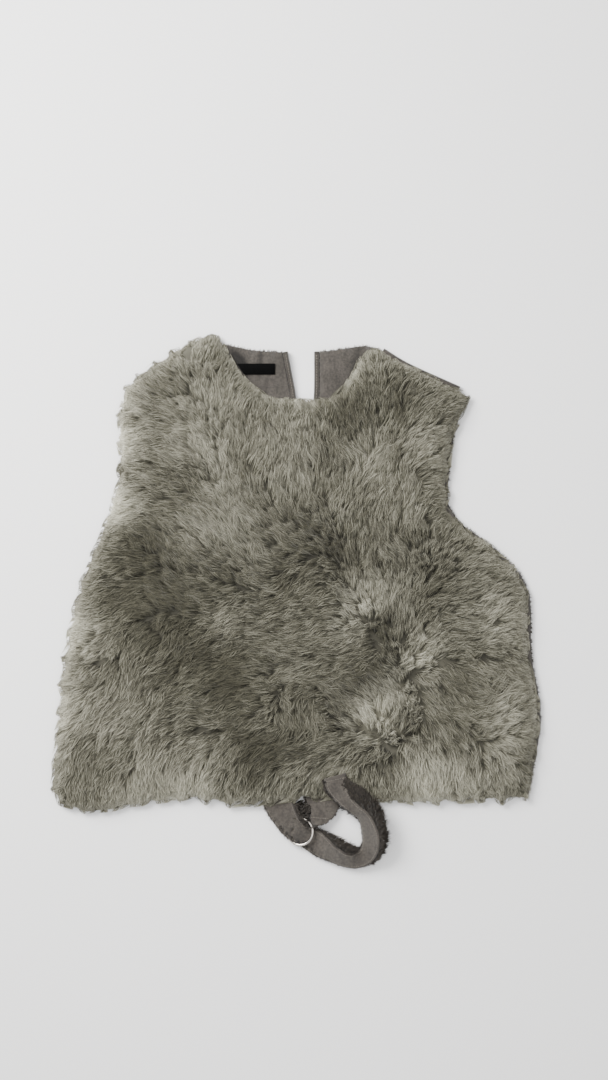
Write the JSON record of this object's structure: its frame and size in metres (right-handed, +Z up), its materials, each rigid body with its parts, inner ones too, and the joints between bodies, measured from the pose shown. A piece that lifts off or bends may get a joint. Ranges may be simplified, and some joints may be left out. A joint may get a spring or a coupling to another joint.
{
  "type": "faux fur vest",
  "caption": "Sleeveless cropped faux fur vest laid flat: long-pile front on two open back panels, with a hem strap looped through a metal ring.",
  "frame": {"origin": "on the surface the garment lies on, under the middle of its bounding box", "axes": "+Z up out of the surface, +Y from the hem to the neck, +X to the right of the laid garment"},
  "size_m": [0.5384, 0.5864, 0.0273],
  "materials": {
    "long_pile_fur": "long soft pile, greige with pale tips",
    "taupe_suede": "matt brushed suede on the inner side, short dark pile on the outer side",
    "turned_suede_edge": "turned and topstitched suede edge",
    "strap_suede": "matt brushed suede over dark pile",
    "black_woven_label": "fine satin weave, bare",
    "polished_ring_metal": "polished, warm silver"
  },
  "bodies": {
    "root": {"front": "long_pile_fur", "back_left": "taupe_suede", "back_right": "taupe_suede", "edge_band_left": "turned_suede_edge", "edge_band_right": "turned_suede_edge", "shoulder_strip_left": "turned_suede_edge", "shoulder_strip_right": "turned_suede_edge", "neck_label": "black_woven_label", "strap": "strap_suede", "strap_tab": "strap_suede", "ring": "polished_ring_metal"}
  },
  "joints": []
}
